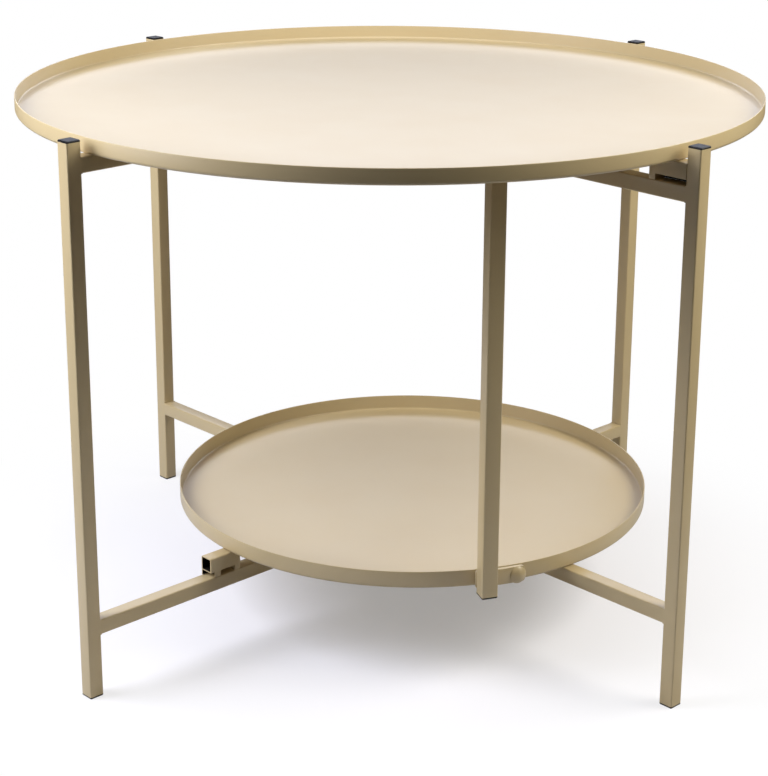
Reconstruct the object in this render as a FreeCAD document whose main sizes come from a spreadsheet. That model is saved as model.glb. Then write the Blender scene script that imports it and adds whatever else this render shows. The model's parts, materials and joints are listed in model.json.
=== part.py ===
import FreeCAD, Part
import math
import os
import Sketcher

# Two-tier tray table on a folding stand of square tube.
# Origin on the floor at the fold axis, +Z up, -Y to the front, +X to the right.
# An azimuth is measured from the front (-Y) towards the right (+X), in degrees.

Vector = FreeCAD.Vector
Rotation = FreeCAD.Rotation
ACROSS_AXIS, UP_AXIS = range(-1, -3, -1)
ORIGIN = ACROSS_AXIS
START, END, CENTRE = range(1, 4)
RIGHT_HAND, LEFT_HAND = range(-1, 2, 2)
HALF_TURN = 180
NEAR = 1e-4

# Driving sizes in millimetres, and angles in degrees
SIZES = [
    ("tube_side", 12.0, "side of the square tube"),
    ("tube_wall", 1.0, "wall of the square tube"),
    ("tube_corner", 1.2, "outer corner radius of the square tube"),
    ("frame_angle", 45.0, "azimuth of the inner frame, and of the outer one the other way"),
    ("leg_gap", 7.5, "gap between the top tray's rim and a leg"),
    ("rail_gap", 4.5, "gap between two crossing rails"),
    ("seat_gap", 0.2, "gap between a tray and what it rests on"),
    ("top_tray_height", 424.0, "floor to the underside of the top tray"),
    ("top_tray_radius", 300.0, "outer radius of the top tray"),
    ("top_tray_rim", 12.3, "outer height of the top tray's rim"),
    ("leg_rise", 0.2, "top of the leg caps above the top tray's rim"),
    ("lower_tray_height", 80.0, "floor to the underside of the lower tray"),
    ("lower_tray_radius", 200.0, "outer radius of the lower tray"),
    ("lower_tray_rim", 14.0, "outer height of the lower tray's rim"),
    ("lower_tray_right", 21.0, "lower tray's centre to the right of the fold axis"),
    ("lower_tray_back", 6.6, "lower tray's centre behind the fold axis"),
    ("tray_sheet", 1.0, "sheet thickness of the trays"),
    ("tray_bend", 1.5, "inside bend radius between tray floor and rim"),
    ("tray_lip", 0.4, "rounding of the rim's top edge"),
    ("rest_wall", 1.0, "wall of the rest blocks"),
    ("upper_rest_length", 33.0, "length of the blocks that carry the top tray"),
    ("lower_rest_length", 30.0, "length of the blocks that carry the lower tray"),
    ("rest_inner_foot", 5.5, "length of a rest block's inner foot"),
    ("rest_outer_foot", 6.0, "length of a lower rest block's outer foot"),
    ("rest_overhang", 4.0, "end of a lower rest block beyond its outer foot"),
    ("plug_head", 1.5, "thickness of a plug's head"),
    ("plug_edge", 0.6, "chamfer round a plug's head"),
    ("plug_stem", 12.0, "length of a plug inside its tube"),
    ("plug_fit", 0.1, "gap between a plug's stem and its tube"),
    ("plug_wall", 1.5, "wall of a plug's hollow stem"),
    ("pivot_radius", 3.0, "radius of a pivot bolt's shank"),
    ("pivot_fit", 0.05, "radial gap round a pivot bolt"),
    ("pivot_play", 0.15, "end play under a pivot bolt's head and at its bush"),
    ("pivot_head_radius", 5.25, "radius of a pivot bolt's button head"),
    ("pivot_head", 3.3, "height of a pivot bolt's button head"),
    ("pivot_socket", 4.0, "width across flats of a pivot bolt's socket"),
    ("pivot_socket_depth", 2.0, "depth of a pivot bolt's socket"),
    ("bush_radius", 5.5, "outer radius of a pivot bush and of a rivet nut's flange"),
    ("nut_flange", 0.8, "thickness of a rivet nut's flange"),
    ("nut_radius", 4.0, "outer radius of a rivet nut's barrel"),
    ("nut_collar", 4.7, "radius of a rivet nut's set collar"),
    ("nut_collar_height", 2.0, "height of a rivet nut's set collar"),
    ("nut_barrel", 8.0, "length of a rivet nut inside its rail"),
    ("thread_end", 0.5, "rivet nut's barrel beyond the bolt's end"),
    ("upright_side", 13.0, "side of the front upright's square tube"),
    ("upright_angle", 16.5, "azimuth of the front upright about the lower tray's centre"),
    ("upright_face_angle", 19.5, "azimuth that the front upright faces"),
    ("upright_drop", 4.0, "front upright's lower end below the lower tray"),
    ("upright_clear", 9.0, "front upright's upper end below the top tray"),
    ("tab_thick", 3.2, "thickness of the upright's tab"),
    ("tab_height", 13.0, "height of the upright's tab"),
    ("tab_raise", 0.5, "tab's lower edge above the lower tray's underside"),
    ("tab_fit", 0.8, "gap between the tab and the rim it is rolled to"),
    ("tab_corner", 2.5, "corner radius of the tab's free end"),
    ("tab_end", 6.0, "tab beyond the bolt's centre"),
    ("bolt_offset", 27.5, "upright's centre to the tab bolt's centre, along the rim"),
    ("bolt_raise", 6.4, "tab bolt above the lower tray's underside"),
    ("bolt_radius", 2.5, "radius of the tab bolt's shank"),
    ("bolt_fit", 0.05, "gap round the tab bolt's shank and square neck"),
    ("bolt_neck", 2.0, "length of the tab bolt's square neck"),
    ("bolt_head_radius", 7.0, "radius of the tab bolt's round head"),
    ("bolt_head", 3.3, "height of the tab bolt's round head"),
    ("bolt_spare", 1.2, "tab bolt's end beyond its nut"),
    ("tab_nut_width", 8.0, "tab nut's width across flats"),
    ("tab_nut_thick", 4.0, "tab nut's thickness"),
    ("tab_nut_fit", 0.05, "gap between the tab nut's corners and the rim"),
]

doc = FreeCAD.newDocument("TieredSideTable")
sheet = doc.addObject("Spreadsheet::Sheet", "Size")
for row, (name, number, meaning) in enumerate(SIZES, start=1):
    sheet.set(f"A{row}", meaning)
    sheet.set(f"B{row}", str(number))
    sheet.setAlias(f"B{row}", name)
doc.recompute()

# Sizes and heights that several pieces share
HALF = "(Size.tube_side / 2)"
UPRIGHT_HALF = "(Size.upright_side / 2)"
LEG_REACH = "(Size.top_tray_radius + Size.leg_gap + Size.tube_side / 2)"
LEG_FACE = "(Size.top_tray_radius + Size.leg_gap)"
STAND_HEIGHT = "(Size.top_tray_height + Size.top_tray_rim + Size.leg_rise)"
TOP_SEAT = "(Size.top_tray_height - Size.seat_gap)"
LOW_SEAT = "(Size.lower_tray_height - Size.seat_gap)"
RAIL_STEP = "(Size.tube_side + Size.rail_gap)"
UPRIGHT_FOOT = "(Size.lower_tray_height - Size.upright_drop)"
UPRIGHT_HEAD = "(Size.top_tray_height - Size.upright_clear)"
TAB_INSIDE = "(Size.lower_tray_radius + Size.tab_fit)"
TAB_OUTSIDE = f"({TAB_INSIDE} + Size.tab_thick)"
BOLT_TURN = "(Size.upright_angle + 180 / pi * Size.bolt_offset / Size.lower_tray_radius)"
NUT_CORNER = "(Size.tab_nut_width / sqrt(3))"
RIM_INSIDE = "(Size.lower_tray_radius - Size.tray_sheet)"
NUT_FACE = f"(sqrt({RIM_INSIDE} ^ 2 - {NUT_CORNER} ^ 2) - Size.tab_nut_fit)"

bodies = []


def value(text):
    """The number that an expression on the sheet gives."""
    return float(sheet.evalExpression(text))


def new_body(label):
    """An empty body for one piece."""
    body = doc.addObject("PartDesign::Body", label)
    body.Label = label
    bodies.append(body)
    return body


def new_sketch(body, name, role):
    """A sketch on one of the body's own origin planes."""
    sketch = body.newObject("Sketcher::SketchObject", name)
    plane = [item for item in body.Origin.OriginFeatures if item.Role == role][0]
    sketch.AttachmentSupport = [(plane, "")]
    sketch.MapMode = "FlatFace"
    return sketch


def pin_point(sketch, line, position, corner):
    """Hold a point of a sketch at a place given by two expressions."""
    for direction, axis, text in zip(("DistanceX", "DistanceY"), (UP_AXIS, ACROSS_AXIS), corner):
        if text == "0":
            sketch.addConstraint(Sketcher.Constraint("PointOnObject", line, position, axis))
            continue
        amount = value(text)
        ends = (ORIGIN, START, line, position)
        if amount < 0:
            ends = (line, position, ORIGIN, START)
            text = f"-({text})"
        index = sketch.addConstraint(Sketcher.Constraint(direction, *ends, abs(amount)))
        sketch.setExpression(f"Constraints[{index}]", text)


def draw_outline(sketch, corners):
    """A closed outline of straight lines through the corners."""
    points = [Vector(value(x), value(y), 0) for x, y in corners]
    first = sketch.GeometryCount
    count = len(points)
    for i in range(count):
        sketch.addGeometry(Part.LineSegment(points[i], points[(i + 1) % count]), False)
    for i in range(count):
        following = first + (i + 1) % count
        sketch.addConstraint(Sketcher.Constraint("Coincident", first + i, END, following, START))
    for i in range(count):
        pin_point(sketch, first + i, START, corners[i])


def draw_circle(sketch, radius, corner=("0", "0")):
    """A circle whose centre and radius are expressions."""
    centre = Vector(value(corner[0]), value(corner[1]), 0)
    line = sketch.addGeometry(Part.Circle(centre, Vector(0, 0, 1), value(radius)), False)
    pin_point(sketch, line, CENTRE, corner)
    index = sketch.addConstraint(Sketcher.Constraint("Radius", line, value(radius)))
    sketch.setExpression(f"Constraints[{index}]", radius)


def square(half):
    """Corners of a square about the middle."""
    return rectangle(f"-{half}", half, f"-{half}", half)


def rectangle(left, right, low, high):
    """Corners of a rectangle."""
    return [(left, low), (right, low), (right, high), (left, high)]


def hexagon(width):
    """Corners of a hexagon with flats above and below, from its width across flats."""
    flat = f"({width} / 2)"
    corner = f"({width} / sqrt(3))"
    side = f"({width} / sqrt(12))"
    return [(corner, "0"), (side, flat), (f"-{side}", flat),
            (f"-{corner}", "0"), (f"-{side}", f"-{flat}"), (side, f"-{flat}")]


def pad(body, sketch, length, centred=False, downwards=False):
    """Raise a solid from a sketch."""
    feature = body.newObject("PartDesign::Pad", sketch.Name + "_pad")
    feature.Profile = sketch
    feature.setExpression("Length", length)
    feature.Midplane = centred
    feature.Reversed = downwards
    doc.recompute()
    return feature


def cut(body, sketch, gone, length=None, both_ways=False):
    """Cut a sketch out of the body, so that the point gone is then empty."""
    before = body.Shape.Volume
    feature = body.newObject("PartDesign::Pocket", sketch.Name + "_cut")
    feature.Profile = sketch
    if length is None:
        feature.Type = "ThroughAll"
    else:
        feature.setExpression("Length", length)
    feature.Midplane = both_ways
    doc.recompute()
    if feature.Shape.isNull() or feature.Shape.isInside(gone, NEAR, False):
        feature.Reversed = True
        doc.recompute()
    if body.Shape.Volume >= before or body.Shape.isInside(gone, NEAR, False):
        raise RuntimeError(f"{sketch.Name} cuts nothing")
    return feature


def revolve(body, sketch):
    """Turn a sketch a full turn about its upright axis."""
    feature = body.newObject("PartDesign::Revolution", sketch.Name + "_turned")
    feature.Profile = sketch
    feature.ReferenceAxis = (sketch, ["V_Axis"])
    feature.Angle = 360
    doc.recompute()
    return feature


def dress(body, kind, name, size, wanted):
    """Fillet or chamfer the edges of the body's tip that the test wanted picks."""
    base = body.Tip
    edges = [f"Edge{i}" for i, edge in enumerate(base.Shape.Edges, start=1) if wanted(edge)]
    if not edges:
        raise RuntimeError(f"{body.Label}: no edge for {name}")
    feature = body.newObject(f"PartDesign::{kind}", f"{body.Label}_{name}")
    feature.Base = (base, edges)
    feature.setExpression("Radius" if kind == "Fillet" else "Size", size)
    doc.recompute()
    return feature


def runs_along(edge):
    """True for an edge parallel to the body's length."""
    first, last = edge.Vertexes[0].Point, edge.Vertexes[-1].Point
    return abs(first.x - last.x) < NEAR and abs(first.y - last.y) < NEAR and abs(first.z - last.z) > NEAR


def lies_at(edge, height):
    """True for an edge that lies flat at a height of its body."""
    return abs(edge.BoundBox.ZMin - height) < NEAR and abs(edge.BoundBox.ZMax - height) < NEAR


def tube_corners(half):
    """A test for the outer long edges of a square section."""
    limit = value(half) - NEAR

    def wanted(edge):
        point = edge.Vertexes[0].Point
        return runs_along(edge) and abs(point.x) > limit and abs(point.y) > limit

    return wanted


def along(azimuth, reach):
    """Place on the floor at a reach from the fold axis."""
    angle = math.radians(azimuth)
    return Vector(math.sin(angle) * reach, -math.cos(angle) * reach, 0)


def standing_turn(azimuth):
    """Turn for a piece whose length stands upright."""
    return Rotation(Vector(0, 0, 1), azimuth)


def lying_turn(azimuth):
    """Turn for a piece whose length lies along an azimuth, with its Y side up."""
    return Rotation(Vector(0, 0, 1), azimuth) * Rotation(Vector(1, 0, 0), 90)


def put(body, place, height, turn):
    """Set a body's placement."""
    body.Placement = FreeCAD.Placement(Vector(place.x, place.y, height), turn)


# Square tubes

def square_tube(label, length, half=HALF, centred=False):
    """A hollow square tube with rounded corners, standing on its end."""
    body = new_body(label)
    section = new_sketch(body, label + "_section", "XY_Plane")
    draw_outline(section, square(half))
    draw_outline(section, square(f"({half} - Size.tube_wall)"))
    pad(body, section, length, centred)
    dress(body, "Fillet", "corners", "Size.tube_corner", tube_corners(half))
    return body


def leg(label, azimuth):
    """A leg between its glide and its cap."""
    body = square_tube(label, f"{STAND_HEIGHT} - 2 * Size.plug_head")
    put(body, along(azimuth, value(LEG_REACH)), value("Size.plug_head"), standing_turn(azimuth))


def rail(label, azimuth, height, holds_nut):
    """A rail between two legs, with the hole for its pivot's rivet nut or bolt."""
    body = square_tube(label, f"2 * {LEG_FACE}", centred=True)
    lower_wall = Vector(0, -value(f"{HALF} - Size.tube_wall / 2"), 0)
    hole = new_sketch(body, label + "_pivot_hole", "XZ_Plane")
    if holds_nut:
        draw_circle(hole, "Size.nut_radius + Size.pivot_fit")
        cut(body, hole, lower_wall)
    else:
        draw_circle(hole, "Size.pivot_radius + Size.pivot_fit")
        cut(body, hole, lower_wall, both_ways=True)
    put(body, Vector(0, 0, 0), value(height), lying_turn(azimuth))


# Plastic plugs

def plug(label, place, height, azimuth, half=HALF, points_down=False):
    """A plug with a flat head the size of the tube and a hollow stem inside it."""
    stem_half = f"({half} - Size.tube_wall - Size.plug_fit)"
    body = new_body(label)
    head = new_sketch(body, label + "_head", "XY_Plane")
    draw_outline(head, square(half))
    pad(body, head, "Size.plug_head")
    dress(body, "Fillet", "corners", "Size.tube_corner", tube_corners(half))
    dress(body, "Chamfer", "edge", "Size.plug_edge", lambda edge: lies_at(edge, value("Size.plug_head")))
    stem = new_sketch(body, label + "_stem", "XY_Plane")
    draw_outline(stem, square(stem_half))
    pad(body, stem, "Size.plug_stem", downwards=True)
    hollow = new_sketch(body, label + "_hollow", "XY_Plane")
    draw_outline(hollow, square(f"({stem_half} - Size.plug_wall)"))
    cut(body, hollow, Vector(0, 0, -value("Size.plug_stem / 2")), length="Size.plug_stem")
    turn = standing_turn(azimuth)
    if points_down:
        turn = turn * Rotation(Vector(1, 0, 0), HALF_TURN)
    put(body, place, height, turn)


# Rest blocks that lift a tray over the lower of two rails

def rest_block(label, azimuth, start, rail_top, length, slots, open_side):
    """A short tube on two skirts and a foot; the skirt of its open side has slots."""
    inside = "(Size.tube_side / 2 - Size.rest_wall)"
    top = "(Size.rail_gap + Size.tube_side)"
    body = new_body(label)
    section = new_sketch(body, label + "_section", "XY_Plane")
    draw_outline(section, [
        (f"-{HALF}", "0"), (f"-{inside}", "0"), (f"-{inside}", "Size.rail_gap"), (inside, "Size.rail_gap"),
        (inside, "0"), (HALF, "0"), (HALF, top), (f"-{HALF}", top)])
    draw_outline(section, rectangle(
        f"-{inside}", inside, "Size.rail_gap + Size.rest_wall", f"{top} - Size.rest_wall"))
    pad(body, section, length)
    dress(body, "Fillet", "corners", "Size.tube_corner",
          lambda edge: runs_along(edge) and edge.BoundBox.YMin > value(top) - NEAR)
    foot = new_sketch(body, label + "_foot", "XY_Plane")
    draw_outline(foot, rectangle(f"-{inside}", inside, "0", "Size.rail_gap"))
    pad(body, foot, "Size.rest_inner_foot")
    for number, (begin, end) in enumerate(slots, start=1):
        slot = new_sketch(body, f"{label}_slot_{number}", "YZ_Plane")
        draw_outline(slot, rectangle("0", "Size.rail_gap", begin, end))
        middle = Vector(open_side * value(f"{HALF} - Size.rest_wall / 2"), value("Size.rail_gap / 2"),
                        value(f"({begin} + {end}) / 2"))
        cut(body, slot, middle)
    put(body, along(azimuth, value(start)), value(rail_top), lying_turn(azimuth))


# Trays

def tray(label, radius, rim):
    """A round tray pressed from one sheet, with a bend up into its rim."""
    body = new_body(label)
    section = new_sketch(body, label + "_section", "XZ_Plane")
    inside = f"({radius} - Size.tray_sheet)"
    draw_outline(section, [
        ("0", "0"), (radius, "0"), (radius, rim), (inside, rim),
        (inside, "Size.tray_sheet"), ("0", "Size.tray_sheet")])
    revolve(body, section)

    def ring(edge, reach, height):
        return lies_at(edge, value(height)) and abs(edge.BoundBox.XMax - value(reach)) < NEAR

    dress(body, "Fillet", "bend_inside", "Size.tray_bend", lambda edge: ring(edge, inside, "Size.tray_sheet"))
    dress(body, "Fillet", "bend_outside", "Size.tray_bend + Size.tray_sheet",
          lambda edge: ring(edge, radius, "0"))
    dress(body, "Fillet", "lip", "Size.tray_lip", lambda edge: lies_at(edge, value(rim)))
    return body


# Fold pivots: rivet nut in the upper rail, bush between the rails, bolt from below

def pivot(level, rail_under):
    """The three pieces of one pivot, from the underside of the rail that holds the nut."""
    bore = "(Size.pivot_radius + Size.pivot_fit)"
    height = value(rail_under)

    nut = new_body(f"pivot_nut_{level}")
    section = new_sketch(nut, f"pivot_nut_{level}_section", "XZ_Plane")
    collar_top = "(Size.tube_wall + Size.nut_collar_height)"
    draw_outline(section, [
        (bore, "-Size.nut_flange"), ("Size.bush_radius", "-Size.nut_flange"), ("Size.bush_radius", "0"),
        ("Size.nut_radius", "0"), ("Size.nut_radius", "Size.tube_wall"), ("Size.nut_collar", "Size.tube_wall"),
        ("Size.nut_collar", collar_top), ("Size.nut_radius", collar_top),
        ("Size.nut_radius", "Size.nut_barrel"), (bore, "Size.nut_barrel")])
    revolve(nut, section)
    put(nut, Vector(0, 0, 0), height, Rotation())

    bush = new_body(f"pivot_bush_{level}")
    section = new_sketch(bush, f"pivot_bush_{level}_section", "XZ_Plane")
    draw_outline(section, rectangle(
        bore, "Size.bush_radius", "-(Size.rail_gap - Size.pivot_play)", "-Size.nut_flange"))
    revolve(bush, section)
    put(bush, Vector(0, 0, 0), height, Rotation())

    bolt = new_body(f"pivot_bolt_{level}")
    seat = f"({RAIL_STEP} + Size.pivot_play)"
    section = new_sketch(bolt, f"pivot_bolt_{level}_section", "XZ_Plane")
    draw_domed_bolt(section, "Size.pivot_radius", f"{seat} + Size.nut_barrel - Size.thread_end",
                    "Size.pivot_head_radius", "Size.pivot_head")
    revolve(bolt, section)
    socket = new_sketch(bolt, f"pivot_bolt_{level}_socket", "XY_Plane")
    socket_top = "(Size.pivot_head - Size.pivot_socket_depth)"
    socket.AttachmentOffset = FreeCAD.Placement(Vector(0, 0, value(socket_top)), Rotation())
    socket.setExpression("AttachmentOffset.Base.z", socket_top)
    draw_outline(socket, hexagon("Size.pivot_socket"))
    cut(bolt, socket, Vector(0, 0, value(f"{socket_top} + Size.pivot_socket_depth / 2")),
        length="Size.pivot_head")
    put(bolt, Vector(0, 0, 0), height - value(seat), Rotation(Vector(1, 0, 0), HALF_TURN))


def draw_domed_bolt(sketch, shank, length, head_radius, head):
    """Half section of a bolt: its shank below the middle line and a domed head above it."""
    centre = Vector(0, value(f"({head} ^ 2 - ({head_radius}) ^ 2) / (2 * {head})"), 0)
    rim = Vector(value(head_radius), 0, 0)
    crown = Vector(0, value(head), 0)
    corners = [("0", f"-({length})"), (shank, f"-({length})"), (shank, "0"), (head_radius, "0")]
    points = [Vector(value(x), value(y), 0) for x, y in corners]
    for first, last in zip(points, points[1:]):
        sketch.addGeometry(Part.LineSegment(first, last), False)
    start_angle = math.atan2(rim.y - centre.y, rim.x - centre.x)
    ball = Part.Circle(centre, Vector(0, 0, 1), (rim - centre).Length)
    arc = sketch.addGeometry(Part.ArcOfCircle(ball, start_angle, math.pi / 2), False)
    axis = sketch.addGeometry(Part.LineSegment(crown, points[0]), False)
    for line in range(len(points) - 2):
        sketch.addConstraint(Sketcher.Constraint("Coincident", line, END, line + 1, START))
    sketch.addConstraint(Sketcher.Constraint("Coincident", arc - 1, END, arc, START))
    sketch.addConstraint(Sketcher.Constraint("Coincident", arc, END, axis, START))
    sketch.addConstraint(Sketcher.Constraint("Coincident", axis, END, 0, START))
    for line in range(len(points) - 1):
        pin_point(sketch, line, START, corners[line])
    pin_point(sketch, arc - 1, END, corners[-1])
    pin_point(sketch, axis, START, ("0", head))
    sketch.addConstraint(Sketcher.Constraint("PointOnObject", arc, CENTRE, UP_AXIS))


# The front upright and what holds it to the lower tray's rim

def upright_tab(label):
    """A strip rolled to the rim, behind the upright and out to its bolt, which lies along +X."""
    body = new_body(label)
    section = new_sketch(body, label + "_section", "XZ_Plane")
    draw_outline(section, rectangle(
        TAB_INSIDE, TAB_OUTSIDE, "Size.tab_raise", "Size.tab_raise + Size.tab_height"))
    strip = body.newObject("PartDesign::Revolution", label + "_rolled")
    strip.Profile = section
    strip.ReferenceAxis = (section, ["V_Axis"])
    strip.Type = "TwoAngles"
    strip.setExpression("Angle", "180 / pi * Size.tab_end / Size.lower_tray_radius")
    strip.setExpression("Angle2", f"180 / pi * (Size.bolt_offset + {UPRIGHT_HALF}) / Size.lower_tray_radius")
    doc.recompute()
    if body.Shape.BoundBox.YMax > -body.Shape.BoundBox.YMin:
        strip.Reversed = True
        doc.recompute()

    def free_end(edge):
        box = edge.BoundBox
        across = abs(edge.Length - value("Size.tab_thick")) < NEAR
        return across and box.ZLength < NEAR and box.YMin > 0

    dress(body, "Fillet", "end", "Size.tab_corner", free_end)
    hole = new_sketch(body, label + "_hole", "YZ_Plane")
    side = "(Size.bolt_radius + Size.bolt_fit)"
    draw_outline(hole, rectangle(f"-{side}", side, f"Size.bolt_raise - {side}", f"Size.bolt_raise + {side}"))
    cut(body, hole, Vector(value(f"({TAB_INSIDE} + {TAB_OUTSIDE}) / 2"), 0, value("Size.bolt_raise")))
    return body


def tab_bolt(label):
    """A round-head bolt with a square neck, pointing inwards from under its head."""
    body = new_body(label)
    section = new_sketch(body, label + "_section", "XZ_Plane")
    length = f"({TAB_OUTSIDE} - {NUT_FACE} + Size.tab_nut_thick + Size.bolt_spare)"
    draw_domed_bolt(section, "Size.bolt_radius", length, "Size.bolt_head_radius", "Size.bolt_head")
    revolve(body, section)
    neck = new_sketch(body, label + "_neck", "XY_Plane")
    draw_outline(neck, square("Size.bolt_radius"))
    pad(body, neck, "Size.bolt_neck", downwards=True)
    return body


def tab_nut(label):
    """A hexagon nut with a flat side down."""
    body = new_body(label)
    section = new_sketch(body, label + "_section", "XY_Plane")
    draw_outline(section, hexagon("Size.tab_nut_width"))
    draw_circle(section, "Size.bolt_radius + Size.bolt_fit")
    pad(body, section, "Size.tab_nut_thick", downwards=True)
    return body


# The two leg frames
turn = value("Size.frame_angle")
OUTER = {"front_left": -turn, "back_right": HALF_TURN - turn}
INNER = {"front_right": turn, "back_left": turn - HALF_TURN}
for side, azimuth in {**OUTER, **INNER}.items():
    leg(f"leg_{side}", azimuth)
    place = along(azimuth, value(LEG_REACH))
    plug(f"cap_{side}", place, value(f"{STAND_HEIGHT} - Size.plug_head"), azimuth)
    plug(f"glide_{side}", place, value("Size.plug_head"), azimuth, points_down=True)

rail("upper_rail_outer", OUTER["front_left"], f"{TOP_SEAT} - {HALF}", holds_nut=True)
rail("upper_rail_inner", INNER["front_right"], f"{TOP_SEAT} - {HALF} - {RAIL_STEP}", holds_nut=False)
rail("lower_rail_inner", INNER["front_right"], f"{LOW_SEAT} - {HALF}", holds_nut=True)
rail("lower_rail_outer", OUTER["front_left"], f"{LOW_SEAT} - {HALF} - {RAIL_STEP}", holds_nut=False)
pivot("upper", f"{TOP_SEAT} - Size.tube_side")
pivot("lower", f"{LOW_SEAT} - Size.tube_side")

# Rest blocks: the upper ones run on to their legs, the lower ones stand free at the tray's radius
upper_slots = [("Size.rest_inner_foot", "Size.upper_rest_length")]
lower_slots = [
    ("Size.rest_inner_foot", "(Size.lower_rest_length - Size.rest_overhang - Size.rest_outer_foot)"),
    ("(Size.lower_rest_length - Size.rest_overhang)", "Size.lower_rest_length")]
for side, azimuth in (("right", INNER["front_right"]), ("left", INNER["back_left"])):
    rest_block(f"rest_upper_{side}", azimuth, f"{LEG_FACE} - Size.upper_rest_length",
               f"{TOP_SEAT} - {RAIL_STEP}", "Size.upper_rest_length", upper_slots, RIGHT_HAND)
for side, azimuth in (("left", OUTER["front_left"]), ("right", OUTER["back_right"])):
    rest_block(f"rest_lower_{side}", azimuth, "Size.lower_tray_radius - Size.lower_rest_length",
               f"{LOW_SEAT} - {RAIL_STEP}", "Size.lower_rest_length", lower_slots, LEFT_HAND)

# The top tray on the fold axis
top_tray = tray("top_tray", "Size.top_tray_radius", "Size.top_tray_rim")
put(top_tray, Vector(0, 0, 0), value("Size.top_tray_height"), Rotation())

# The lower tray with its upright, turned so that the tab's bolt points along its +X
tray_place = Vector(value("Size.lower_tray_right"), value("Size.lower_tray_back"), 0)
tray_base = value("Size.lower_tray_height")
bolt_turn = value(BOLT_TURN)
tray_turn = Rotation(Vector(0, 0, 1), bolt_turn - 90)
outward = tray_turn * Rotation(Vector(0, 1, 0), 90) * Rotation(Vector(0, 0, 1), 90)

lower_tray = tray("lower_tray", "Size.lower_tray_radius", "Size.lower_tray_rim")
bolt_hole = new_sketch(lower_tray, "lower_tray_bolt_hole", "YZ_Plane")
draw_circle(bolt_hole, "Size.bolt_radius + Size.bolt_fit", ("0", "Size.bolt_raise"))
cut(lower_tray, bolt_hole, Vector(value("Size.lower_tray_radius - Size.tray_sheet / 2"), 0,
                                  value("Size.bolt_raise")))
put(lower_tray, tray_place, tray_base, tray_turn)
put(upright_tab("upright_tab"), tray_place, tray_base, tray_turn)

bolt_height = tray_base + value("Size.bolt_raise")
put(tab_bolt("tab_bolt"), tray_place + along(bolt_turn, value(TAB_OUTSIDE)), bolt_height, outward)
put(tab_nut("tab_nut"), tray_place + along(bolt_turn, value(NUT_FACE)), bolt_height, outward)

# The upright faces a little to the side of the tray's centre, so one of its corners meets the tab
upright_face = value("Size.upright_face_angle")
skew = math.radians(upright_face - value("Size.upright_angle"))
upright_depth = value(UPRIGHT_HALF) * (math.cos(skew) + abs(math.sin(skew)))
upright_place = tray_place + along(value("Size.upright_angle"), value(TAB_OUTSIDE) + upright_depth)
plug_seat = value(f"{UPRIGHT_FOOT} + Size.plug_head")
cap_seat = value(f"{UPRIGHT_HEAD} - Size.plug_head")
front_upright = square_tube(
    "front_upright", f"{UPRIGHT_HEAD} - {UPRIGHT_FOOT} - 2 * Size.plug_head", UPRIGHT_HALF)
put(front_upright, upright_place, plug_seat, standing_turn(upright_face))
plug("upright_cap", upright_place, cap_seat, upright_face, UPRIGHT_HALF)
plug("upright_plug", upright_place, plug_seat, upright_face, UPRIGHT_HALF, points_down=True)

# Every object is sound before anything is written
doc.recompute()
for item in doc.Objects:
    if "Invalid" in item.State or "Error" in item.State:
        raise RuntimeError(f"{item.Label} failed: {item.State}")
for body in bodies:
    if body.Shape.isNull() or not body.Shape.isValid() or len(body.Shape.Solids) != 1:
        raise RuntimeError(f"{body.Label} is not one sound solid")

os.makedirs("parts", exist_ok=True)
for body in bodies:
    body.Shape.exportStep(os.path.join("parts", body.Label + ".step"))
    box = body.Shape.BoundBox
    print(f"{body.Label:20s} volume {body.Shape.Volume:10.1f}  x {box.XMin:7.1f} {box.XMax:7.1f}"
          f"  y {box.YMin:7.1f} {box.YMax:7.1f}  z {box.ZMin:6.1f} {box.ZMax:6.1f}")
print(len(bodies), "pieces")
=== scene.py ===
import json
import math

import bmesh
import bpy
from mathutils import Euler, Matrix, Vector


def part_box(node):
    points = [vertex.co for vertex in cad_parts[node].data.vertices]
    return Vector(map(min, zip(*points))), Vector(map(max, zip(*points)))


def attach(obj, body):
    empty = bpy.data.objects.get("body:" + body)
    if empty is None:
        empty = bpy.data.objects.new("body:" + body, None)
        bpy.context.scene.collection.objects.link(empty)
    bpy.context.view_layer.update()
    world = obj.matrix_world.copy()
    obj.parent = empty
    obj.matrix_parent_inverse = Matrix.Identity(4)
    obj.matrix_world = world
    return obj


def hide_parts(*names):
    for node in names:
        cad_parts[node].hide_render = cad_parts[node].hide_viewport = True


bl_info = {
    "name": "Two-tier tray table",
    "version": (1, 0, 0),
    "blender": (4, 5, 0),
    "location": "3D View > Sidebar > Tray Table",
    "description": "Dresses the packed frame of a folding two-tier tray table",
    "category": "Object",
}

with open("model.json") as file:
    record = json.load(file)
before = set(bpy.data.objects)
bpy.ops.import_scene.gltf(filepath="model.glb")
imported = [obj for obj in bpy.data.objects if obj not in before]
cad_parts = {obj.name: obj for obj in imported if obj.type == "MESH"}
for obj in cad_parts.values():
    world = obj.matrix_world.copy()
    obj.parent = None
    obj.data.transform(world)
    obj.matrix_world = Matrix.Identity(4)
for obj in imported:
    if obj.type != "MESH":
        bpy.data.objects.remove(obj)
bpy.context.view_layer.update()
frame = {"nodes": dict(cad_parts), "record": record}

# Named values

MM = 0.001
IMAGE_LONG_SIDE = 776
SENSOR = 36.0
OUTER_LEGS = ("front_left", "back_right")
INNER_LEGS = ("front_right", "back_left")
# Points of a mesh that lie closer than this are one
MERGE = 0.002 * MM
# A face looks along an axis when this share of its normal does
MOSTLY = 0.5
# Rings in a tray's floor, as shares of its flat radius
RING_SHARES = (0, 0.25, 0.5, 0.75)
# Faces along a tray's bend, along each half of its lip, and across an eased edge
BEND_STEPS = 8
LIP_STEPS = 4
EASE_STEPS = 2
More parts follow.
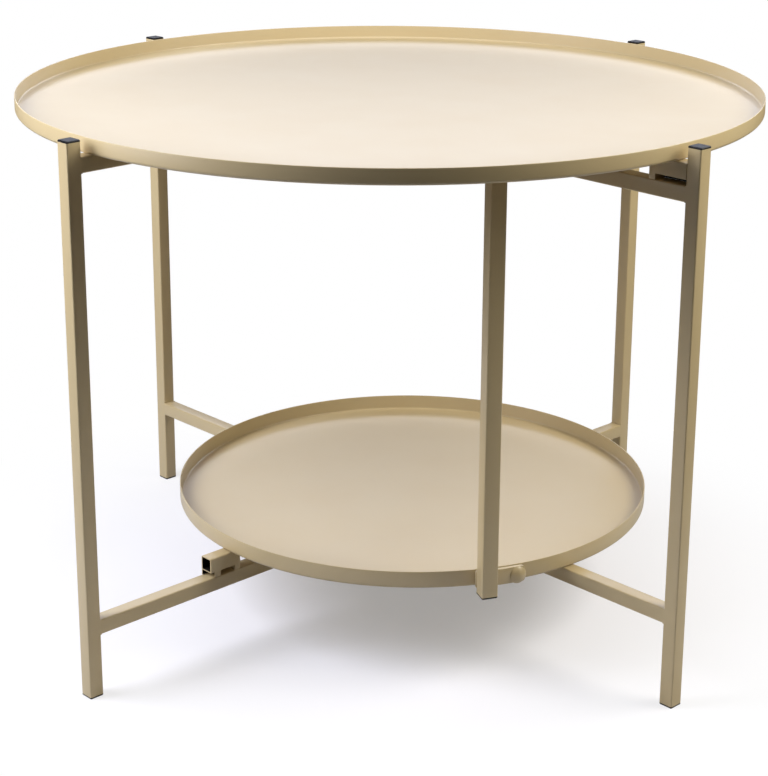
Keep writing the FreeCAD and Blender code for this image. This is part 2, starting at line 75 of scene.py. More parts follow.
# Angles at an edge: below FLAT its faces are joined, above SHARP it is eased, below SMOOTH it is smooth
FLAT = math.radians(0.5)
SHARP = math.radians(50)
SMOOTH = math.radians(35)
WELD_SMOOTH = math.radians(60)
# The paint is too satin to mirror these small bright boxes
HIDDEN_IN_GLOSS = ("left", "right", "front")
# The front box has a narrow beam, for the upright when the lower tray is pulled out
FRONT_AIM = Vector((0.05, -0.68, 0.2))
FRONT_SPREAD = math.radians(40)
# Place of each soft box, and its width and height, in metres
SOFT_BOXES = {
    "front": ((0.15, -0.95, 0.95), (0.2, 0.2)),
    "left": ((-0.75, -0.25, 0.75), (0.5, 0.6)),
    "left_low": ((-0.95, -0.45, 0.6), (0.6, 0.8)),
    "right": ((0.75, -0.25, 0.75), (0.5, 0.6)),
    "right_high": ((0.9, -0.12, 1.05), (0.6, 0.6)),
    "top": ((0, -0.05, 1.2), (0.6, 0.6)),
    "wall": ((0, 1.7, 1.1), (3.4, 0.5)),
}


def middle(node):
    """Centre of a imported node's box."""
    low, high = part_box(node)
    return (low + high) / 2


def azimuth_of(spot):
    """Angle of a spot about the fold axis, from the front towards the right."""
    return math.atan2(spot.x, -spot.y)


def linear(hex_colour):
    """Linear colour with alpha from an sRGB hex value."""
    channels = [int(hex_colour[i:i + 2], 16) / 255 for i in (1, 3, 5)]
    return [c / 12.92 if c <= 0.04045 else ((c + 0.055) / 1.055) ** 2.4 for c in channels] + [1.0]


# Settings

class TableSizes(bpy.types.PropertyGroup):
    """Sizes of the sheet and tube that the pieces are made from."""

    tube_side: bpy.props.FloatProperty(
        name="Tube side", description="Side of the square tube", default=12 * MM, unit="LENGTH")
    upright_side: bpy.props.FloatProperty(
        name="Upright side", description="Side of the front upright's tube",
        default=13 * MM, unit="LENGTH")
    upright_face: bpy.props.FloatProperty(
        name="Upright face", description="Azimuth that the front upright faces",
        default=math.radians(19.5), subtype="ANGLE")
    tube_wall: bpy.props.FloatProperty(
        name="Tube wall", description="Wall of the square tube", default=1 * MM, unit="LENGTH")
    tube_corner: bpy.props.FloatProperty(
        name="Tube corner", description="Outer corner radius of the tube",
        default=1.2 * MM, unit="LENGTH")
    corner_steps: bpy.props.IntProperty(
        name="Corner steps", description="Faces round one corner of a tube", default=6, min=2)
    weld_height: bpy.props.FloatProperty(
        name="Weld height", description="Height of a weld above its rail",
        default=0.1 * MM, unit="LENGTH")
    weld_length: bpy.props.FloatProperty(
        name="Weld length", description="Reach of a weld along its rail",
        default=0.6 * MM, unit="LENGTH")
    weld_sink: bpy.props.FloatProperty(
        name="Weld sink", description="Depth of a weld's end below its rail's faces",
        default=0.05 * MM, unit="LENGTH")
    block_ease: bpy.props.FloatProperty(
        name="Block edge", description="Easing of a rest block's edges",
        default=0.15 * MM, unit="LENGTH")
    plug_ease: bpy.props.FloatProperty(
        name="Plug edge", description="Easing of a plug's edges", default=0.2 * MM, unit="LENGTH")
    fixing_ease: bpy.props.FloatProperty(
        name="Fixing edge", description="Easing of a fixing's edges", default=0.12 * MM, unit="LENGTH")
    sheet: bpy.props.FloatProperty(
        name="Tray sheet", description="Sheet thickness of the trays", default=1 * MM, unit="LENGTH")
    bend: bpy.props.FloatProperty(
        name="Tray bend", description="Inside radius from tray floor to rim",
        default=1.5 * MM, unit="LENGTH")
    lip: bpy.props.FloatProperty(
        name="Tray lip", description="Rounding of the rim's top edge", default=0.45 * MM, unit="LENGTH")
    round_steps: bpy.props.IntProperty(
        name="Round steps", description="Faces round a tray", default=288, min=48)


class TableFinishes(bpy.types.PropertyGroup):
    """Colours of the finishes."""

    paint: bpy.props.FloatVectorProperty(
        name="Paint", description="Sand powder coat",
        default=linear("#C8B488"), size=4, subtype="COLOR")
    paint_warm: bpy.props.FloatVectorProperty(
        name="Warm paint", description="Sand powder coat where it lies thicker",
        default=linear("#C5AE80"), size=4, subtype="COLOR")
    # Dark steel for the rest blocks' unpainted insides, also laid as painted shade on the foot sides in
    # their slots, which would really be sand coated
    bare_steel: bpy.props.FloatVectorProperty(
        name="Bare steel", description="Unpainted insides of the rest blocks",
        default=linear("#1B1714"), size=4, subtype="COLOR")
    plastic: bpy.props.FloatVectorProperty(
        name="Plastic", description="Black moulded plugs",
        default=linear("#151417"), size=4, subtype="COLOR")
    zinc: bpy.props.FloatVectorProperty(
        name="Zinc", description="Zinc-plated bolts and nuts",
        default=linear("#C4C6C4"), size=4, subtype="COLOR")
    nylon: bpy.props.FloatVectorProperty(
        name="Nylon", description="Pivot bushes",
        default=linear("#E6E0D0"), size=4, subtype="COLOR")
    floor: bpy.props.FloatVectorProperty(
        name="Floor", description="Pale studio floor",
        default=linear("#FDF9FA"), size=4, subtype="COLOR")
    floor_lit: bpy.props.FloatVectorProperty(
        name="Lit floor", description="Floor near the table, as it lights the table",
        default=linear("#BEBCBA"), size=4, subtype="COLOR")
    floor_dark: bpy.props.FloatVectorProperty(
        name="Dark floor", description="Floor far from the table, as it lights the table",
        default=linear("#504F4E"), size=4, subtype="COLOR")
    cool_light: bpy.props.FloatVectorProperty(
        name="Cool light", description="Colour of the lights that aren't on the right",
        default=linear("#E9EEFF"), size=4, subtype="COLOR")
    right_light: bpy.props.FloatVectorProperty(
        name="Right light", description="Colour of the soft boxes on the right",
        default=linear("#FFFEFA"), size=4, subtype="COLOR")


class TableStage(bpy.types.PropertyGroup):
    """Camera, light and floor."""

    azimuth: bpy.props.FloatProperty(
        name="Azimuth", description="Camera round the table, to the right of the front",
        default=math.radians(1.15), subtype="ANGLE")
    distance: bpy.props.FloatProperty(
        name="Distance", description="Camera to the fold axis, along the floor",
        default=1.558, unit="LENGTH")
    height: bpy.props.FloatProperty(
        name="Height", description="Camera above the floor", default=0.730, unit="LENGTH")
    pitch: bpy.props.FloatProperty(
        name="Pitch", description="Camera below the level",
        default=math.radians(17.10), subtype="ANGLE")
    yaw: bpy.props.FloatProperty(
        name="Yaw", description="Camera to the left of the fold axis",
        default=math.radians(0.14), subtype="ANGLE")
    roll: bpy.props.FloatProperty(
        name="Roll", description="Camera about its own line of sight",
        default=math.radians(0.29), subtype="ANGLE")
    focal_pixels: bpy.props.FloatProperty(
        name="Focal length", description="Focal length in pixels of the image", default=1942)
    shift: bpy.props.FloatProperty(
        name="Shift", description="Lens shift upwards, as a share of the image's long side",
        default=-0.11)
    floor_size: bpy.props.FloatProperty(
        name="Floor", description="Side of the floor", default=14, unit="LENGTH")
    floor_glow: bpy.props.FloatProperty(
        name="Floor glow", description="Share of the floor's white that no shadow dims", default=0.3)
    bleach_near: bpy.props.FloatProperty(
        name="Bleach from", description="Reach from the fold axis at which the floor starts to bleach",
        default=0.10, unit="LENGTH")
    bleach_far: bpy.props.FloatProperty(
        name="Bleach to", description="Reach from the fold axis at which the floor is plain white",
        default=0.47, unit="LENGTH")
    bounce_near: bpy.props.FloatProperty(
        name="Lit floor", description="Reach of the floor that throws light on the table",
        default=0.4, unit="LENGTH")
    bounce_far: bpy.props.FloatProperty(
        name="Dark floor", description="Reach at which the floor throws little light",
        default=0.9, unit="LENGTH")
    front_power: bpy.props.FloatProperty(
        name="Front soft box", description="Power of the narrow soft box above the front",
        default=0.28, unit="POWER")
    left_power: bpy.props.FloatProperty(
        name="Left soft box", description="Power of the soft box beside the table on the left",
        default=11.4, unit="POWER")
    left_low_power: bpy.props.FloatProperty(
        name="Low left soft box", description="Power of the low soft box in front on the left",
        default=2.1, unit="POWER")
    right_power: bpy.props.FloatProperty(
        name="Right soft box", description="Power of the soft box beside the table on the right",
        default=3.9, unit="POWER")
    right_high_power: bpy.props.FloatProperty(
        name="High right soft box", description="Power of the high soft box on the right",
        default=7.0, unit="POWER")
    top_power: bpy.props.FloatProperty(
        name="Top soft box", description="Power of the soft box overhead", default=3.1, unit="POWER")
    wall_power: bpy.props.FloatProperty(
        name="Back wall", description="Power of the lit wall behind the table",
        default=15.2, unit="POWER")


# Finishes

def add_node(tree, kind, settings=None, links=None):
    """Add a node, set its sockets and options by name, and link its inputs."""
    node = tree.nodes.new(kind)
    for name, setting in (settings or {}).items():
        if name in node.inputs:
            node.inputs[name].default_value = setting
        else:
            setattr(node, name, setting)
    for name, source in (links or {}).items():
        tree.links.new(source, node.inputs[name])
    return node


def new_material(name):
    """An empty node material with its output, and the Object coordinates that its patterns read."""
    material = bpy.data.materials.new(name)
    material.use_nodes = True
    tree = material.node_tree
    tree.nodes.clear()
    output = add_node(tree, "ShaderNodeOutputMaterial")
    where = add_node(tree, "ShaderNodeTexCoord").outputs["Object"]
    return material, tree, output, where


def noise(tree, where, millimetres, detail):
    """Noise over a piece, with features that many millimetres across."""
    settings = {"Scale": 1 / (millimetres * MM), "Detail": detail}
    return add_node(tree, "ShaderNodeTexNoise", settings, {"Vector": where}).outputs["Fac"]


def sand_powder_coat(finishes):
    """Polyester powder coat baked on steel: satin, with faint orange peel and slightly uneven gloss."""
    material, tree, output, where = new_material("sand_powder_coat")
    cloud = noise(tree, where, millimetres=60, detail=3.0)
    tint = add_node(tree, "ShaderNodeMixRGB",
                    {"Color1": finishes.paint, "Color2": finishes.paint_warm},
                    {"Fac": cloud})
    gloss = add_node(tree, "ShaderNodeMapRange", {"To Min": 0.33, "To Max": 0.42},
                     {"Value": cloud})
    # The real orange peel is about 1 mm across, too fine to show, so it is drawn at 2.5 mm
    peel = noise(tree, where, millimetres=2.5, detail=2.0)
    bump = add_node(tree, "ShaderNodeBump", {"Strength": 0.05, "Distance": 0.3 * MM},
                    {"Height": peel})
    shader = add_node(tree, "ShaderNodeBsdfPrincipled",
                      {"IOR": 1.5, "Coat Weight": 0.8, "Coat Roughness": 0.3},
                      {"Base Color": tint.outputs["Color"], "Roughness": gloss.outputs["Result"],
                       "Normal": bump.outputs["Normal"]})
    tree.links.new(shader.outputs["BSDF"], output.inputs["Surface"])
    return material


def bare_drawn_steel(finishes):
    """Dark dull steel with fine scuffs: the tubes' unpainted insides with black mill scale, and painted
    shade on the foot sides seen through the slots, which would be sand coated.
    """
    material, tree, output, where = new_material("bare_drawn_steel")
    scuff = noise(tree, where, millimetres=1.5, detail=3.0)
    gloss = add_node(tree, "ShaderNodeMapRange", {"To Min": 0.7, "To Max": 0.9},
                     {"Value": scuff})
    shader = add_node(tree, "ShaderNodeBsdfPrincipled",
                      {"Base Color": finishes.bare_steel, "Specular IOR Level": 0.05},
                      {"Roughness": gloss.outputs["Result"]})
    tree.links.new(shader.outputs["BSDF"], output.inputs["Surface"])
    return material


def black_polyethylene(finishes):
    """Injection-moulded polyethylene: near black, with a dull grained skin."""
    material, tree, output, where = new_material("black_polyethylene")
    # The moulded grain is about 0.2 mm, drawn at 0.7 mm so that it shows
    grain = noise(tree, where, millimetres=0.7, detail=2.0)
    gloss = add_node(tree, "ShaderNodeMapRange", {"To Min": 0.38, "To Max": 0.55},
                     {"Value": grain})
    bump = add_node(tree, "ShaderNodeBump", {"Strength": 0.12, "Distance": 0.1 * MM},
                    {"Height": grain})
    shader = add_node(tree, "ShaderNodeBsdfPrincipled",
                      {"IOR": 1.51, "Base Color": finishes.plastic},
                      {"Roughness": gloss.outputs["Result"], "Normal": bump.outputs["Normal"]})
    tree.links.new(shader.outputs["BSDF"], output.inputs["Surface"])
    return material


def bright_zinc(finishes):
    """Zinc-plated steel: a pale metal with a faintly cloudy shine."""
    material, tree, output, where = new_material("bright_zinc")
    cloud = noise(tree, where, millimetres=3, detail=4.0)
    gloss = add_node(tree, "ShaderNodeMapRange", {"To Min": 0.24, "To Max": 0.4},
                     {"Value": cloud})
    shader = add_node(tree, "ShaderNodeBsdfPrincipled", {"Metallic": 1.0, "Base Color": finishes.zinc},
                      {"Roughness": gloss.outputs["Result"]})
    tree.links.new(shader.outputs["BSDF"], output.inputs["Surface"])
    return material


def natural_nylon(finishes):
    """Natural nylon: milky off-white with a soft moulded skin."""
    material, tree, output, where = new_material("natural_nylon")
    cloud = noise(tree, where, millimetres=4, detail=2.0)
    gloss = add_node(tree, "ShaderNodeMapRange", {"To Min": 0.4, "To Max": 0.52},
                     {"Value": cloud})
    shader = add_node(tree, "ShaderNodeBsdfPrincipled",
                      {"IOR": 1.53, "Base Color": finishes.nylon, "Subsurface Weight": 0.2,
                       "Subsurface Scale": 1 * MM},
                      {"Roughness": gloss.outputs["Result"]})
    tree.links.new(shader.outputs["BSDF"], output.inputs["Surface"])
    return material


FINISH_OF_SLOT = {"sand_paint": sand_powder_coat, "black_plastic": black_polyethylene,
                  "zinc_steel": bright_zinc, "white_nylon": natural_nylon}
SLOT_OF_NODE = {part["node"]: part["material_slot"] for part in frame["record"]["subparts"]}
NODES_OF_BODY = frame["record"]["behaviour"]["bodies"]
BODY_OF_NODE = {node: body for body, nodes in NODES_OF_BODY.items() for node in nodes}


def finish_for(slot):
    """The material of a slot, made once."""
    make = FINISH_OF_SLOT[slot]
    return bpy.data.materials.get(make.__name__) or make(bpy.context.scene.table_finishes)


def settle(piece, node):
    """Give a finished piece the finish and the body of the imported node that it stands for."""
    dress(piece, SLOT_OF_NODE[node], BODY_OF_NODE[node])
    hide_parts(node)


def dress(piece, slot, body):
    """Give a finished piece a slot's finish and set it on a body."""
    piece.data.materials.clear()
    piece.data.materials.append(finish_for(slot))
    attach(piece, body)


# Modelling

def start_piece(name):
    """Name the primitive that was just added, which is the active object."""
    piece = bpy.context.object
    piece.name = name
    piece.data.name = name
    return piece


def make_active(piece):
    """Select one object alone."""
    bpy.ops.object.select_all(action="DESELECT")
    piece.select_set(True)
    bpy.context.view_layer.objects.active = piece


def edit(piece):
    """Go into edit mode on one object alone."""
    make_active(piece)
    bpy.ops.object.mode_set(mode="EDIT")


def pick(kind, wanted):
    """Select the faces or edges, in edit mode, that a test picks."""
    bpy.ops.mesh.select_mode(type=kind)
    bpy.ops.mesh.select_all(action="DESELECT")
    mesh = bmesh.from_edit_mesh(bpy.context.object.data)
    for item in mesh.faces if kind == "FACE" else mesh.edges:
        if wanted(item):
            item.select_set(True)
    bmesh.update_edit_mesh(bpy.context.object.data)


def apply_modifiers(piece):
    """Apply a piece's modifiers in order."""
    make_active(piece)
    for modifier in list(piece.modifiers):
        bpy.ops.object.modifier_apply(modifier=modifier.name)


def smooth(piece, angle=SMOOTH):
    """Shade a piece smooth across edges flatter than an angle."""
    make_active(piece)
    bpy.ops.object.shade_smooth_by_angle(angle=angle)


def place(piece, matrix):
    """Put a piece in its place, with the place in its mesh."""
    piece.matrix_world = matrix
    make_active(piece)
    bpy.ops.object.transform_apply(location=True, rotation=True, scale=True)


def copy_piece(piece, name):
    """A copy of a piece with its own mesh."""
    twin = piece.copy()
    twin.data = piece.data.copy()
    twin.name = name
    twin.data.name = name
    bpy.context.scene.collection.objects.link(twin)
    return twin


def square_tube(name, length, side, sizes):
    """A hollow square tube with rounded long edges, standing about the origin."""
    bpy.ops.object.select_all(action="DESELECT")
    bpy.ops.mesh.primitive_cube_add(size=1)
    tube = start_piece(name)
    tube.scale = side, side, length
    place(tube, tube.matrix_basis.copy())
    edit(tube)
    pick("FACE", lambda face: abs(face.normal.z) > MOSTLY)
    bpy.ops.mesh.delete(type="ONLY_FACE")
    pick("EDGE", lambda edge: abs(edge.verts[0].co.z - edge.verts[1].co.z) > length / 2)
    bpy.ops.mesh.bevel(offset=sizes.tube_corner, segments=sizes.corner_steps, affect="EDGES")
    bpy.ops.object.mode_set(mode="OBJECT")
    wall = tube.modifiers.new("wall", "SOLIDIFY")
    wall.thickness = sizes.tube_wall
    wall.offset = -1
    wall.use_even_offset = True
    apply_modifiers(tube)
    smooth(tube)
    return tube


def turned(name, profile, steps):
    """A piece spun from a profile of (radius, height) points about the upright axis."""
    bpy.ops.object.select_all(action="DESELECT")
    bpy.ops.mesh.primitive_plane_add(size=1 * MM)
    piece = start_piece(name)
    edit(piece)
    bpy.ops.mesh.select_mode(type="VERT")
    bpy.ops.mesh.select_all(action="SELECT")
    bpy.ops.mesh.merge(type="CENTER")
    points = [Vector((radius, 0, height)) for radius, height in profile]
    bpy.ops.transform.translate(value=points[0])
    for first, last in zip(points, points[1:]):
        bpy.ops.mesh.extrude_region_move(TRANSFORM_OT_translate={"value": last - first})
    bpy.ops.mesh.select_all(action="SELECT")
    bpy.ops.mesh.spin(steps=steps, angle=2 * math.pi, center=(0, 0, 0), axis=(0, 0, 1))
    bpy.ops.mesh.select_all(action="SELECT")
    bpy.ops.mesh.remove_doubles(threshold=MERGE)
    bpy.ops.mesh.normals_make_consistent(inside=False)
    bpy.ops.object.mode_set(mode="OBJECT")
    smooth(piece)
    return piece


def arc(centre, radius, start, end, steps):
    """Points of an arc in a profile, with angles in degrees from the outward side."""
    turns = [math.radians(start + (end - start) * i / steps) for i in range(steps + 1)]
    return [(centre[0] + radius * math.cos(t), centre[1] + radius * math.sin(t)) for t in turns]


def tray_profile(radius, rim, sizes):
    """Section of a pressed tray from under its middle, round the rim, to the top of its middle."""
    bend_out = sizes.bend + sizes.sheet
    heart = radius - bend_out
    rings = [heart * share for share in RING_SHARES]
    inside = radius - sizes.sheet
    lip = sizes.lip
    under = [(ring, 0) for ring in rings]
    up = arc((heart, bend_out), bend_out, -90, 0, BEND_STEPS)
    out = arc((radius - lip, rim - lip), lip, 0, 90, LIP_STEPS)
    back = arc((inside + lip, rim - lip), lip, 90, 180, LIP_STEPS)
    down = arc((heart, bend_out), sizes.bend, 0, -90, BEND_STEPS)
    floor = [(ring, sizes.sheet) for ring in reversed(rings)]
    return under + up + out + back + down + floor


# Pieces

class TABLE_OT_trays(bpy.types.Operator):
    """Spin the two trays"""

    bl_idname = "table.trays"
    bl_label = "Make trays"

    def execute(self, context):
        sizes = context.scene.table_sizes
        for node in ("top_tray", "lower_tray"):
            low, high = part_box(node)
            centre = middle(node)
            radius = (high.x - low.x) / 2
            profile = tray_profile(radius, high.z - low.z, sizes)
            tray = turned(f"pressed_{node}", profile, sizes.round_steps)
            place(tray, Matrix.Translation((centre.x, centre.y, low.z)))
            settle(tray, node)
        return {"FINISHED"}


class TABLE_OT_tubes(bpy.types.Operator):
    """Make the square tubes: legs, rails and the front upright"""

    bl_idname = "table.tubes"
    bl_label = "Make tubes"

    def execute(self, context):
        sizes = context.scene.table_sizes
        for side in OUTER_LEGS + INNER_LEGS:
            self.standing(f"leg_{side}", azimuth_of(middle(f"leg_{side}")), sizes.tube_side, sizes)
        for level in ("upper", "lower"):
            self.lying(f"{level}_rail_outer", f"leg_{OUTER_LEGS[0]}", sizes)
            self.lying(f"{level}_rail_inner", f"leg_{INNER_LEGS[0]}", sizes)
        self.standing("front_upright", sizes.upright_face, sizes.upright_side, sizes)
        return {"FINISHED"}

    def standing(self, node, azimuth, side, sizes):
        """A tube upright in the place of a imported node."""
        low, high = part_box(node)
        tube = square_tube(f"steel_{node}", high.z - low.z, side, sizes)
        place(tube, Matrix.Translation((low + high) / 2) @ Matrix.Rotation(azimuth, 4, "Z"))
        settle(tube, node)

    def lying(self, node, leg, sizes):
        """A tube level between two legs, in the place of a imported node."""
        foot = middle(leg)
        length = 2 * math.hypot(foot.x, foot.y) - sizes.tube_side
        tube = square_tube(f"steel_{node}", length, sizes.tube_side, sizes)
        lay = Matrix.Rotation(math.radians(90), 4, "X")
        place(tube, Matrix.Translation(middle(node)) @ Matrix.Rotation(azimuth_of(foot), 4, "Z") @ lay)
        settle(tube, node)


class TABLE_OT_welds(bpy.types.Operator):
    """Fill the seams between the rails and their legs with ground welds"""

    bl_idname = "table.welds"
    bl_label = "Make welds"

    def execute(self, context):
        sizes = context.scene.table_sizes
        weld = self.weld(sizes)
        for frame_name, legs in (("outer", OUTER_LEGS), ("inner", INNER_LEGS)):
            for level in ("upper", "lower"):
                rail = middle(f"{level}_rail_{frame_name}")
                for side in legs:
                    foot = middle(f"leg_{side}")
                    reach = math.hypot(foot.x, foot.y) - sizes.tube_side / 2
                    turn = Matrix.Rotation(azimuth_of(foot), 4, "Z")
                    twin = copy_piece(weld, f"weld_{level}_{side}")
                    end = Matrix.Translation((0, -reach, 0))
                    place(twin, Matrix.Translation((0, 0, rail.z)) @ turn @ end)
                    smooth(twin, WELD_SMOOTH)
                    dress(twin, "sand_paint", f"frame_{frame_name}")
        bpy.data.objects.remove(weld)
        return {"FINISHED"}

    def weld(self, sizes):
        """One weld at the front end of a rail that runs along Y, with its fill in the leg's corners."""
        half = sizes.tube_side / 2
        fill = sizes.tube_corner
        bpy.ops.object.select_all(action="DESELECT")
        bpy.ops.mesh.primitive_cube_add(size=1, location=(0, -fill / 2, 0))
        weld = start_piece("weld")
        weld.scale = 2 * half, fill, 2 * (half + sizes.weld_height)
        place(weld, weld.matrix_basis.copy())
        edit(weld)
        pick("FACE", lambda face: face.normal.y > MOSTLY)
        # A steep first third, then a slope that ends inside the rail
        tall, wide = half + sizes.weld_height, half
        inside = half - sizes.weld_sink
        for share, next_tall in ((1 / 3, half + sizes.weld_height / 3), (2 / 3, inside)):
            step = 0, sizes.weld_length * share, 0
            bpy.ops.mesh.extrude_region_move(TRANSFORM_OT_translate={"value": step})
            bpy.ops.transform.resize(
                value=(inside / wide, 1, next_tall / tall), center_override=(0, 0, 0))
            tall, wide = next_tall, inside
        bpy.ops.object.mode_set(mode="OBJECT")
        return weld


def softened_copy(node, edge):
    """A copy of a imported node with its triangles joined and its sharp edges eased."""
    source = frame["nodes"][node]
    piece = copy_piece(source, f"eased_{node}")
    piece.parent = None
    for key in list(piece.keys()):
        del piece[key]
    edit(piece)
    bpy.ops.mesh.select_all(action="SELECT")
    bpy.ops.mesh.remove_doubles(threshold=MERGE)
    bpy.ops.mesh.customdata_custom_splitnormals_clear()
    bpy.ops.mesh.dissolve_limited(angle_limit=FLAT)
    bpy.ops.object.mode_set(mode="OBJECT")
    ease = piece.modifiers.new("ease", "BEVEL")
    ease.width = edge
    ease.segments = EASE_STEPS
    ease.limit_method = "ANGLE"
    ease.angle_limit = SHARP
    apply_modifiers(piece)
    smooth(piece)
    return piece


class TABLE_OT_rest_blocks(bpy.types.Operator):
    """Make the slotted blocks that carry the trays"""

    bl_idname = "table.rest_blocks"
    bl_label = "Make rest blocks"

    def execute(self, context):
        sizes = context.scene.table_sizes
        bare_and_shade = bare_drawn_steel(context.scene.table_finishes)
        for node in ("rest_upper_right", "rest_upper_left", "rest_lower_left", "rest_lower_right"):
            block = softened_copy(node, sizes.block_ease)
            settle(block, node)
            block.data.materials.append(bare_and_shade)
            self.bare_inside(block, node, sizes)
        return {"FINISHED"}

    def bare_inside(self, block, node, sizes):
        """Give the dark second material to the tube's unpainted inner faces, and to the sides of the
        foot inside it, where it is painted shade that makes the slot read dark.
        """
        heart = middle(node)
        heart.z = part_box(node)[1].z - sizes.tube_side / 2
        along = Vector((heart.x, heart.y, 0)).normalized()
        across = along.cross(Vector((0, 0, 1)))
        skin = (sizes.tube_side - sizes.tube_wall) / 2
        for face in block.data.polygons:
            out = face.center - heart
            out -= out.dot(along) * along
            looks_in = face.normal.dot(out) < -sizes.tube_wall
            looks_aside = abs(face.normal.dot(across)) > MOSTLY
            # Inner faces are unpainted steel; the foot's sides get the dark steel as painted shade
            if looks_in or (looks_aside and abs(out.dot(across)) < skin):
                face.material_index = 1


class TABLE_OT_plugs(bpy.types.Operator):
    """Make the black plugs in the tube ends"""

    bl_idname = "table.plugs"
    bl_label = "Make plugs"

    def execute(self, context):
        edge = context.scene.table_sizes.plug_ease
        for node in [name for name, slot in SLOT_OF_NODE.items() if slot == "black_plastic"]:
            settle(softened_copy(node, edge), node)
        return {"FINISHED"}


class TABLE_OT_fixings(bpy.types.Operator):
    """Make the upright's tab with its bolt and nut, and the fold pivots"""

    bl_idname = "table.fixings"
    bl_label = "Make fixings"

    def execute(self, context):
        edge = context.scene.table_sizes.fixing_ease
        pivots = [name for name in SLOT_OF_NODE if name.startswith("pivot_")]
        for node in ["upright_tab", "tab_bolt", "tab_nut"] + pivots:
            settle(softened_copy(node, edge), node)
        return {"FINISHED"}


# Stage

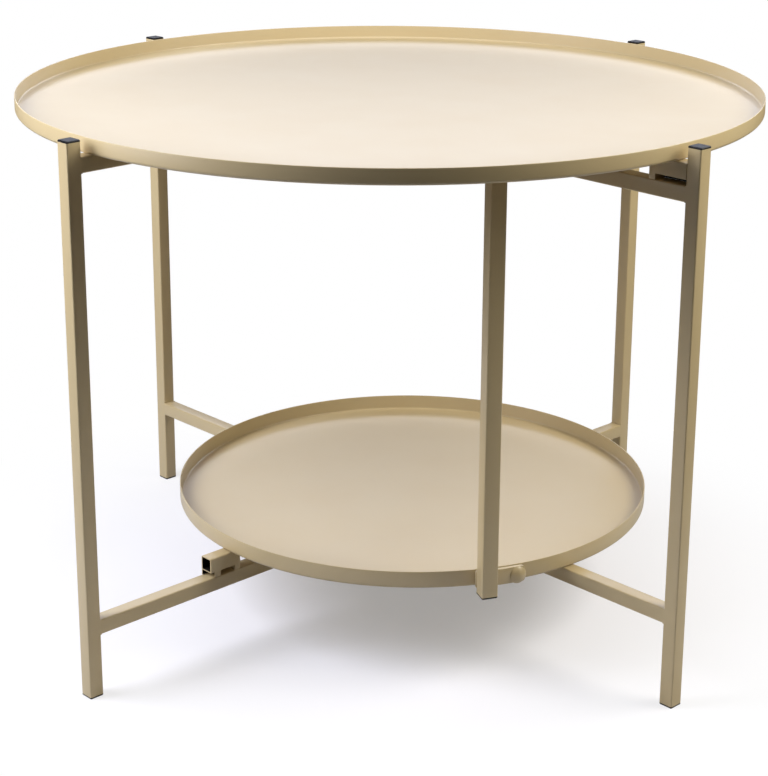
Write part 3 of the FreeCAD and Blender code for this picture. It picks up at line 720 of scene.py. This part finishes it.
class TABLE_OT_stage(bpy.types.Operator):
    """Set the floor, the studio light and the camera"""

    bl_idname = "table.stage"
    bl_label = "Set the stage"

    def execute(self, context):
        stage = context.scene.table_stage
        finishes = context.scene.table_finishes
        self.floor(stage, finishes)
        self.studio(context.scene)
        for name, (spot, size) in SOFT_BOXES.items():
            aim = FRONT_AIM if name == "front" else middle("top_tray") / 2
            box = self.soft_box(f"soft_box_{name}", spot, size, aim)
            if name == "front":
                box.spread = FRONT_SPREAD
            box.energy = getattr(stage, f"{name}_power")
            colour = finishes.right_light if name.startswith("right") else finishes.cool_light
            box.color = colour[:3]
        self.camera(context.scene, stage)
        context.scene.view_settings.view_transform = "Standard"
        return {"FINISHED"}

    def floor(self, stage, finishes):
        """A wide pale floor under the feet."""
        bpy.ops.object.select_all(action="DESELECT")
        bpy.ops.mesh.primitive_plane_add(size=stage.floor_size)
        floor = start_piece("floor")
        material, tree, output, where = new_material("pale_floor")
        gloss = add_node(tree, "ShaderNodeMapRange", {"To Min": 0.8, "To Max": 0.95},
                         {"Value": noise(tree, where, millimetres=40, detail=3.0)})
        shown = add_node(tree, "ShaderNodeBsdfPrincipled",
                         {"Base Color": finishes.floor, "Specular IOR Level": 0.1},
                         {"Roughness": gloss.outputs["Result"]})
        glow = add_node(tree, "ShaderNodeEmission", {"Color": (1, 1, 1, 1), "Strength": 1.0})
        bleach = self.fade(tree, where, (stage.bleach_near, stage.bleach_far), (stage.floor_glow, 1.0))
        paper = add_node(tree, "ShaderNodeMixShader", links={"Fac": bleach})
        tree.links.new(shown.outputs["BSDF"], paper.inputs[1])
        tree.links.new(glow.outputs["Emission"], paper.inputs[2])
        lit = self.fade(tree, where, (stage.bounce_near, stage.bounce_far), (1.0, 0.0))
        bounce = add_node(tree, "ShaderNodeMixRGB",
                          {"Color1": finishes.floor_dark, "Color2": finishes.floor_lit},
                          {"Fac": lit})
        dimmed = add_node(tree, "ShaderNodeBsdfDiffuse", links={"Color": bounce.outputs["Color"]})
        path = add_node(tree, "ShaderNodeLightPath")
        mix = add_node(tree, "ShaderNodeMixShader", links={"Fac": path.outputs["Is Camera Ray"]})
        tree.links.new(dimmed.outputs["BSDF"], mix.inputs[1])
        tree.links.new(paper.outputs["Shader"], mix.inputs[2])
        tree.links.new(mix.outputs["Shader"], output.inputs["Surface"])
        floor.data.materials.append(material)

    def fade(self, tree, where, reaches, shares):
        """A share that goes softly from one to another between two reaches from the fold axis."""
        reach = add_node(tree, "ShaderNodeVectorMath", {"operation": "LENGTH"}, {"Vector": where})
        settings = {"interpolation_type": "SMOOTHSTEP", "From Min": reaches[0], "From Max": reaches[1],
                    "To Min": shares[0], "To Max": shares[1]}
        step = add_node(tree, "ShaderNodeMapRange", settings, {"Value": reach.outputs["Value"]})
        return step.outputs["Result"]

    def studio(self, scene):
        """A dark room, lit by its soft boxes; the camera sees plain white."""
        world = bpy.data.worlds.new("studio")
        scene.world = world
        world.use_nodes = True
        tree = world.node_tree
        tree.nodes.clear()
        output = add_node(tree, "ShaderNodeOutputWorld")
        path = add_node(tree, "ShaderNodeLightPath")
        room = add_node(tree, "ShaderNodeBackground", {"Color": (1, 1, 1, 1)},
                        {"Strength": path.outputs["Is Camera Ray"]})
        tree.links.new(room.outputs["Background"], output.inputs["Surface"])

    def soft_box(self, name, spot, size, aim):
        """A soft box that faces a spot at the table."""
        bpy.ops.object.select_all(action="DESELECT")
        bpy.ops.object.light_add(type="AREA", location=spot)
        box = bpy.context.object
        box.name = name
        box.data.shape = "RECTANGLE"
        box.data.size, box.data.size_y = size
        box.rotation_euler = (aim - Vector(spot)).to_track_quat("-Z", "Y").to_euler()
        box.visible_camera = False
        box.visible_glossy = not name.endswith(HIDDEN_IN_GLOSS)
        return box.data

    def camera(self, scene, stage):
        """The photograph's camera."""
        bpy.ops.object.select_all(action="DESELECT")
        bpy.ops.object.camera_add()
        camera = bpy.context.object
        camera.name = "camera"
        turn = Matrix.Rotation(stage.azimuth, 4, "Z")
        look = Euler((math.radians(90) - stage.pitch, 0, stage.yaw)).to_matrix().to_4x4()
        stand = Matrix.Translation((0, -stage.distance, stage.height))
        camera.matrix_world = turn @ stand @ look @ Matrix.Rotation(stage.roll, 4, "Z")
        camera.data.sensor_width = SENSOR
        camera.data.lens = stage.focal_pixels / IMAGE_LONG_SIDE * SENSOR
        camera.data.shift_y = stage.shift
        scene.camera = camera


# Panel and registration

class TABLE_PT_panel(bpy.types.Panel):
    """Lists the steps that dress the table"""

    bl_idname = "TABLE_PT_panel"
    bl_label = "Tray Table"
    bl_space_type = "VIEW_3D"
    bl_region_type = "UI"
    bl_category = "Tray Table"

    def draw(self, context):
        for step in STEPS:
            self.layout.operator(step.bl_idname)
        scene = context.scene
        for group in (scene.table_sizes, scene.table_finishes, scene.table_stage):
            box = self.layout.box()
            for name in group.__annotations__:
                box.prop(group, name)


STEPS = (TABLE_OT_tubes, TABLE_OT_welds, TABLE_OT_rest_blocks, TABLE_OT_trays, TABLE_OT_plugs,
         TABLE_OT_fixings, TABLE_OT_stage)
CLASSES = (TableSizes, TableFinishes, TableStage) + STEPS + (TABLE_PT_panel,)


def register():
    """Register the classes and hang the settings on the scene."""
    for item in CLASSES:
        bpy.utils.register_class(item)
    bpy.types.Scene.table_sizes = bpy.props.PointerProperty(type=TableSizes)
    bpy.types.Scene.table_finishes = bpy.props.PointerProperty(type=TableFinishes)
    bpy.types.Scene.table_stage = bpy.props.PointerProperty(type=TableStage)


def unregister():
    """Take the settings and classes away again."""
    del bpy.types.Scene.table_stage
    del bpy.types.Scene.table_finishes
    del bpy.types.Scene.table_sizes
    for item in reversed(CLASSES):
        bpy.utils.unregister_class(item)


def main():
    """Dress the table step by step."""
    register()
    bpy.ops.table.tubes()
    bpy.ops.table.welds()
    bpy.ops.table.rest_blocks()
    bpy.ops.table.trays()
    bpy.ops.table.plugs()
    bpy.ops.table.fixings()
    bpy.ops.table.stage()


if __name__ == "__main__":
    main()
